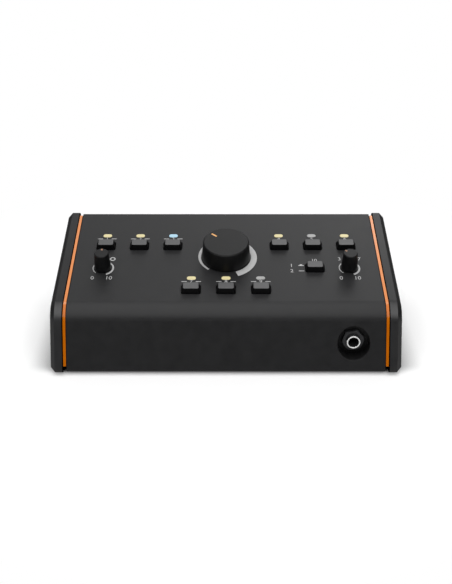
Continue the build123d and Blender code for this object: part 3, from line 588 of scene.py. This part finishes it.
def printed_arcs(finishes):
    """Growing scale arcs round the three knobs."""
    ink = finishes["panel_print"]
    add_piece("volume_scale", growing_arc(*VOLUME_ARC), ink, panel_place(0, VOLUME_ROW))
    for side, x in (("left", -SMALL_X), ("right", SMALL_X)):
        add_piece(f"{side}_scale", growing_arc(*SMALL_ARC), ink, panel_place(x, KNOB_ROW))


# ---- Plain numbers ----
def number_mesh(text, size):
    """Flat mesh of a plain number."""
    curve = bpy.data.curves.new("number", "FONT")
    curve.body = text
    curve.size = size * MM
    curve.align_x = "CENTER"
    curve.align_y = "CENTER"
    curve.extrude = PRINT_THICKNESS / 2 * MM
    holder = new_object("number", curve)
    settled = bpy.context.evaluated_depsgraph_get()
    mesh = bpy.data.meshes.new_from_object(holder.evaluated_get(settled))
    bpy.data.objects.remove(holder)
    bpy.data.curves.remove(curve)
    return mesh


def add_print(name, mesh, finishes, place):
    """Let a printed number ride on the case."""
    mesh.materials.append(finishes["panel_print"])
    piece = new_object(name, mesh)
    piece.matrix_world = place
    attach(piece, CASE)


def panel_number(name, text, size, x, back, finishes):
    """Plain number on the top panel."""
    place = panel_place(x, back, PRINT_THICKNESS / 2)
    add_print(f"number_{name}", number_mesh(text, size), finishes, place)


def behind(columns, row):
    """Places of the numbers behind a row of buttons."""
    return [(x, row - NUMBER_BEHIND_CAP) for x in columns]


REAR_NUMBERS = behind(REAR_COLUMNS, BUTTON_ROW)
FRONT_NUMBERS = behind(FRONT_COLUMNS, FRONT_BUTTON_ROW)
SELECTOR_NUMBER = behind([SELECTOR_X], KNOB_ROW)


def button_numbers(finishes):
    """Plain numbers behind the buttons, counted through the rows."""
    places = REAR_NUMBERS + FRONT_NUMBERS + SELECTOR_NUMBER
    for number, (x, back) in enumerate(places, start=1):
        panel_number(f"button_{number}", str(number), NUMBER_SIZE, x, back, finishes)


def dial_numbers(finishes):
    """Numbers before the small knobs, and behind the right one."""
    row = KNOB_ROW + DIAL_FRONT
    for side, x in (("left", -SMALL_X), ("right", SMALL_X)):
        for text, shift in DIAL_FRONT_SIDES.items():
            panel_number(f"{side}_dial_{text}", text, DIAL_NUMBER_SIZE, x + shift, row, finishes)
    row = KNOB_ROW - DIAL_REAR
    for text, shift in DIAL_REAR_SIDES.items():
        panel_number(f"right_dial_{text}", text, DIAL_NUMBER_SIZE, SMALL_X + shift, row, finishes)


def choice_numbers(finishes):
    """Numbers of the selector's two choices."""
    for number, back in enumerate(CHOICE_ROWS, start=1):
        panel_number(f"choice_{number}", str(number), DIAL_NUMBER_SIZE, CHOICE_X, back, finishes)


def rear_numbers(finishes):
    """Plain numbers over the rear jacks, from left to right as seen from behind."""
    axes = Matrix(((-1, 0, 0), (0, 0, 1), (0, 1, 0))).to_4x4()
    y = REAR_PANEL_Y + PRINT_THICKNESS / 2
    for number, x in enumerate(reversed(REAR_JACKS_X), start=1):
        spot = Matrix.Translation(Vector((x, y, JACK_Z + REAR_NUMBER_RISE)) * MM)
        mesh = number_mesh(str(number), REAR_NUMBER_SIZE)
        add_print(f"rear_number_{number}", mesh, finishes, spot @ axes)


# ---- Other marks on the panel ----
def bar_mark(width, depth):
    """Build of a thin printed bar."""
    half, deep = width / 2 * MM, depth / 2 * MM

    def build(work):
        near = [(-half, -deep), (half, -deep)]
        far = [(-half, deep), (half, deep)]
        flat_band(work, near, far, PRINT_THICKNESS * MM)
    return build


def ring_mark(inner, outer):
    """Build of a thin printed ring."""
    def build(work):
        turns = [360 * step / RING_SEGMENTS for step in range(RING_SEGMENTS + 1)]
        near = [around(inner * MM, turn) for turn in turns]
        far = [around(outer * MM, turn) for turn in turns]
        flat_band(work, near, far, PRINT_THICKNESS * MM)
        bmesh.ops.remove_doubles(work, verts=work.verts, dist=WELD_DISTANCE)
    return build


def printed_bars(finishes):
    """Bars at both sides of the left buttons' and the front buttons' numbers."""
    barred = REAR_NUMBERS[:BARRED_COLUMNS] + FRONT_NUMBERS
    for number, (x, back) in enumerate(barred, start=1):
        for side, shift in (("left", -BAR_MIDDLE), ("right", BAR_MIDDLE)):
            place = panel_place(x + shift, back)
            add_piece(f"bar_{number}_{side}", bar_mark(*BAR_SIZE), finishes["panel_print"], place)


def printed_ring(finishes):
    """Ring behind the left knob."""
    place = panel_place(RING_SIDE - SMALL_X, KNOB_ROW - DIAL_REAR)
    add_piece("ring_mark", ring_mark(*RING_RADII), finishes["panel_print"], place)


def pictograms(finishes):
    """Bars for the selector's two choices, with a raised key on the first."""
    ink = finishes["panel_print"]
    for number, back in enumerate(CHOICE_ROWS, start=1):
        bar_place = panel_place(PICTOGRAM_X, back)
        add_piece(f"pictogram_{number}", bar_mark(*PICTOGRAM_SIZE), ink, bar_place)
    rise = (PICTOGRAM_SIZE[1] + KEY_SIZE[1]) / 2
    key_place = panel_place(PICTOGRAM_X, CHOICE_ROWS[0] - rise)
    add_piece("pictogram_key", bar_mark(*KEY_SIZE), ink, key_place)


# ---- Jacks and inlet ----
def threaded(radius, start, end):
    """Points (radius, height) of a thread's outline from start to end."""
    root = radius - THREAD_DEPTH
    turns = max(1, round((end - start) / THREAD_PITCH))
    step = (end - start) / turns
    points = []
    for turn in range(turns):
        points += [(root, start + turn * step), (radius, start + (turn + 0.5) * step)]
    return points + [(root, end)]


def jack_bush(finishes):
    """Dark threaded bush in place of the plain one."""
    low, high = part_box("front_jack_bush")
    length = (high[1] - low[1]) / MM
    rim_start = length - RIM_LENGTH
    profile = [(BUSH_BORE_RADIUS, 0.0), (BUSH_BORE_RADIUS, rim_start)]
    profile += reversed(threaded(BUSH_RADIUS, 0.0, rim_start))
    place = bore_place(middle_x("front_jack_bush"), high[1] / MM, (low[2] + high[2]) / 2 / MM, False)
    piece = add_piece("front_jack_threaded_bush", revolve(profile), finishes["dark_nut"], place)
    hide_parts("front_jack_bush")
    jack_rim(rim_start, length, place, finishes)


def jack_rim(start, end, place, finishes):
    """Bright rim round the bush's mouth."""
    inner, outer = RIM_RADII
    profile = [
        (inner, start),
        (inner, end - RIM_ROUND),
        (inner + RIM_ROUND, end),
        (outer - RIM_ROUND, end),
        (outer, end - RIM_ROUND),
        (outer, start),
    ]
    add_piece("front_jack_rim", revolve(profile), finishes["bright_metal"], place)


def rear_threads(finishes):
    """Threads on the rear jacks' noses, past their nuts."""
    root = NOSE_RADIUS - THREAD_DEPTH
    crest = NOSE_RADIUS + THREAD_DEPTH
    end = NOSE_END - THREAD_DEPTH
    profile = [(root, end), (root, NUT_END)] + threaded(crest, NUT_END, end)
    builds = [(revolve(profile), bore_place(x, REAR_PANEL_Y, JACK_Z, True)) for x in REAR_JACKS_X]
    add_piece("rear_jack_threads", joined(builds), finishes["black_plastic"])


def inlet_pin(finishes):
    """Bright sleeve with a rounded tip over the inlet's pin."""
    half = PIN_RADIUS / 2
    bore = half / 4
    profile = [
        (bore, PIN_ROOT),
        (PIN_RADIUS, PIN_ROOT),
        (PIN_RADIUS, PIN_TIP - half),
        (PIN_RADIUS * PIN_SHOULDER, PIN_TIP - half / 2),
        (half, PIN_TIP),
        (bore, PIN_TIP),
    ]
    place = bore_place(INLET_X, REAR_PANEL_Y, JACK_Z, True)
    add_piece("inlet_pin", revolve(profile), finishes["bright_metal"], place, smooth=True)


# ---- Screws ----
def recess_cutter(top, bottom):
    """Build of a box that narrows downwards, as a screwdriver's blade does."""
    def build(work):
        rings = []
        for height, share in ((bottom, RECESS_TAPER), (top, 1.0)):
            x, y = RECESS_WIDTH / 2 * share * MM, RECESS_LENGTH / 2 * share * MM
            corners = ((-x, -y), (x, -y), (x, y), (-x, y))
            rings.append([work.verts.new((*corner, height * MM)) for corner in corners])
        work.faces.new(rings[0][::-1])
        work.faces.new(rings[1])
        for step in range(4):
            follow = (step + 1) % 4
            work.faces.new((rings[0][step], rings[0][follow], rings[1][follow], rings[1][step]))
    return build


def screw_mesh(length):
    """Pan-head screw with a cross recess, its head on top of z = 0."""
    profile = [
        (AXIS_GAP, -length),
        (SHANK_RADIUS * SHANK_TIP_SHARE, -length),
        (SHANK_RADIUS, -length + SHANK_TAPER),
        (SHANK_RADIUS, 0.0),
    ]
    profile += [(HEAD_RADIUS * wide, HEAD_HEIGHT * high) for wide, high in HEAD_OUTLINE]
    profile += [(AXIS_GAP, HEAD_HEIGHT)]
    screw = new_object("screw", filled_mesh("screw", revolve(profile, SCREW_SEGMENTS)))
    blade = recess_cutter(HEAD_HEIGHT + CUTTER_RISE, HEAD_HEIGHT - RECESS_DEPTH)
    for turn in range(2):
        cutter = new_object("blade", filled_mesh("blade", blade))
        cutter.rotation_euler = (0.0, 0.0, math.radians(RECESS_ANGLE + 90 * turn))
        cut = screw.modifiers.new(f"recess_{turn}", "BOOLEAN")
        cut.operation = "DIFFERENCE"
        cut.solver = "EXACT"
        cut.object = cutter
    settled = bpy.context.evaluated_depsgraph_get()
    mesh = bpy.data.meshes.new_from_object(screw.evaluated_get(settled))
    for cut in screw.modifiers:
        bpy.data.objects.remove(cut.object)
    bpy.data.objects.remove(screw)
    return mesh


def screws(name, node, finish, length, seats):
    """Screws with cross recesses, all in one piece, in place of a node's plain ones.

    seats: a place in millimetres and the turn that points the head outwards, for each screw.
    """
    shape = screw_mesh(length)

    def build(work):
        for number, (place, turn) in enumerate(seats):
            copy = shape.copy()
            spin = Matrix.Rotation(math.radians(SCREW_TURN * number), 4, "Z")
            copy.transform(Matrix.Translation(Vector(place) * MM) @ turn @ spin)
            work.from_mesh(copy)
            bpy.data.meshes.remove(copy)
    piece = add_piece(name, build, finish)
    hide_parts(node)


def all_screws(finishes):
    """Cover screws behind and below, and the feet's screws."""
    back = Matrix.Rotation(math.radians(-90), 4, "X")
    down = Matrix.Rotation(math.radians(180), 4, "X")
    cover = [(place, back) for place in REAR_SCREWS] + [(place, down) for place in FRONT_SCREWS]
    feet = [(place, down) for place in FOOT_SCREWS]
    black = finishes["black_steel"]
    screws("cover_cross_screws", "cover_screws", black, COVER_SCREW_LENGTH, cover)
    screws("foot_cross_screws", "foot_screws", finishes["steel"], FOOT_SCREW_LENGTH, feet)


# ---- Stage ----
def seen_shade(tree, path):
    """Floor's own grey, and what glossy and clear surfaces and the camera see in its stead."""
    shade = FLOOR_BOUNCE
    seen = {
        "Is Glossy Ray": FLOOR_MIRRORED,
        "Is Transmission Ray": FLOOR_MIRRORED,
        "Is Camera Ray": FLOOR_WHITE,
    }
    for ray, level in seen.items():
        shade = weighted(tree, path[ray], level - FLOOR_BOUNCE, shade)
    return shade


def contact_shade(tree, to_rear):
    """Share of the light that is left on the floor beside the object."""
    near = tree.nodes.new("ShaderNodeAmbientOcclusion")
    near.inputs["Distance"].default_value = CONTACT_REACH
    contact = tree.nodes.new("ShaderNodeMix")
    tree.links.new(faded(tree, to_rear, CONTACT_EDGES), contact.inputs["Factor"])
    contact.inputs["A"].default_value = 1.0
    tree.links.new(near.outputs["AO"], contact.inputs["B"])
    return contact.outputs["Result"]


def even_white_share(tree, place, to_rear):
    """Share of even white: all of it far from the object, and some of it before the object."""
    reach = tree.nodes.new("ShaderNodeVectorMath")
    reach.operation = "LENGTH"
    tree.links.new(place, reach.inputs[0])
    far = faded(tree, reach.outputs["Value"], FLOOR_FADE)
    return weighted(tree, faded(tree, to_rear, FRONT_EDGES), FRONT_WHITE, far)


def floor_material():
    """White to the camera, pale to glossy surfaces and grey to the rest.

    Near the object it is a diffuse surface that keeps the shadow; far away it is an even white.
    """
    made, tree = new_material("floor_white")
    output = tree.nodes.new("ShaderNodeOutputMaterial")
    path = tree.nodes.new("ShaderNodeLightPath").outputs
    place = tree.nodes.new("ShaderNodeTexCoord").outputs["Object"]
    to_rear = parted(tree, place)["Y"]
    surface = tree.nodes.new("ShaderNodeBsdfDiffuse")
    shade = product(tree, seen_shade(tree, path), contact_shade(tree, to_rear))
    tree.links.new(shade, surface.inputs["Color"])
    white = tree.nodes.new("ShaderNodeEmission")
    mix = tree.nodes.new("ShaderNodeMixShader")
    share = product(tree, even_white_share(tree, place, to_rear), path["Is Camera Ray"])
    tree.links.new(share, mix.inputs["Fac"])
    tree.links.new(surface.outputs["BSDF"], mix.inputs[1])
    tree.links.new(white.outputs["Emission"], mix.inputs[2])
    tree.links.new(mix.outputs["Shader"], output.inputs["Surface"])
    return made


def add_floor():
    """Large pale floor under the feet."""
    mesh = bpy.data.meshes.new("floor")
    half = FLOOR_SIZE / 2
    corners = [(-half, -half, 0.0), (half, -half, 0.0), (half, half, 0.0), (-half, half, 0.0)]
    mesh.from_pydata(corners, [], [(0, 1, 2, 3)])
    mesh.materials.append(floor_material())
    floor = new_object("floor", mesh)
    floor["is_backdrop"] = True


def sky_strength(tree):
    """Light from the world: an even grey sky and a paler wall behind the object."""
    place = tree.nodes.new("ShaderNodeTexCoord")
    direction = parted(tree, place.outputs["Generated"])
    wall = faded(tree, direction["Y"], WALL_EDGES)
    for edges in (WALL_TOP, WALL_FOOT):
        wall = product(tree, wall, faded(tree, direction["Z"], edges))
    patch = product(tree, wall, faded(tree, direction["Z"], PATCH_TOP))
    for edges in (PATCH_LEFT, PATCH_RIGHT):
        patch = product(tree, patch, faded(tree, direction["X"], edges))
    sky = weighted(tree, faded(tree, direction["Z"], SKY_EDGES), SKY_RISE, SKY_LIGHT)
    return weighted(tree, patch, PATCH_LIGHT, weighted(tree, wall, WALL_LIGHT, sky))


def add_world():
    """White to the camera, and a plain grey sky as light."""
    world = bpy.data.worlds.new("studio")
    bpy.context.scene.world = world
    world.use_nodes = True
    tree = world.node_tree
    tree.nodes.clear()
    light = tree.nodes.new("ShaderNodeBackground")
    light.inputs["Color"].default_value = WHITE
    tree.links.new(sky_strength(tree), light.inputs["Strength"])
    white = tree.nodes.new("ShaderNodeBackground")
    white.inputs["Color"].default_value = WHITE
    white.inputs["Strength"].default_value = 1.0
    path = tree.nodes.new("ShaderNodeLightPath")
    mix = tree.nodes.new("ShaderNodeMixShader")
    tree.links.new(path.outputs["Is Camera Ray"], mix.inputs["Fac"])
    tree.links.new(light.outputs["Background"], mix.inputs[1])
    tree.links.new(white.outputs["Background"], mix.inputs[2])
    output = tree.nodes.new("ShaderNodeOutputWorld")
    tree.links.new(mix.outputs["Shader"], output.inputs["Surface"])


def add_lamp(name, place, size, power):
    """Square softbox that faces the object."""
    lamp = bpy.data.lights.new(name, "AREA")
    lamp.size = size
    lamp.energy = power
    holder = new_object(name, lamp)
    holder.location = place
    holder.rotation_euler = Vector(place).to_track_quat("Z", "Y").to_euler()


def add_camera():
    """Camera before the object, looking down on it."""
    camera = bpy.data.cameras.new("camera")
    camera.sensor_width = SENSOR
    camera.lens = FOCAL_LENGTH / PICTURE_HEIGHT * SENSOR
    camera.clip_start = CLIP_START
    holder = new_object("camera", camera)
    holder.location = CAMERA_PLACE
    holder.rotation_euler = (math.radians(90 - CAMERA_PITCH), 0.0, 0.0)
    bpy.context.scene.camera = holder


add_camera()
add_floor()
add_world()
add_lamp("overhead", OVERHEAD_PLACE, OVERHEAD_SIZE, OVERHEAD_POWER)
add_lamp("right_rear", SIDE_PLACE, SIDE_SIZE, SIDE_POWER)
bpy.context.scene.view_settings.view_transform = "Standard"

finishes = {name: material(name) for name in LOOKS}
dress_frame(finishes)
printed_arcs(finishes)
button_numbers(finishes)
dial_numbers(finishes)
choice_numbers(finishes)
printed_bars(finishes)
printed_ring(finishes)
pictograms(finishes)
rear_numbers(finishes)
jack_bush(finishes)
rear_threads(finishes)
inlet_pin(finishes)
all_screws(finishes)

boxes = {"cad": cad_box, "visual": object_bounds()}
boxes = {name: [list(corner) for corner in box] for name, box in boxes.items()}
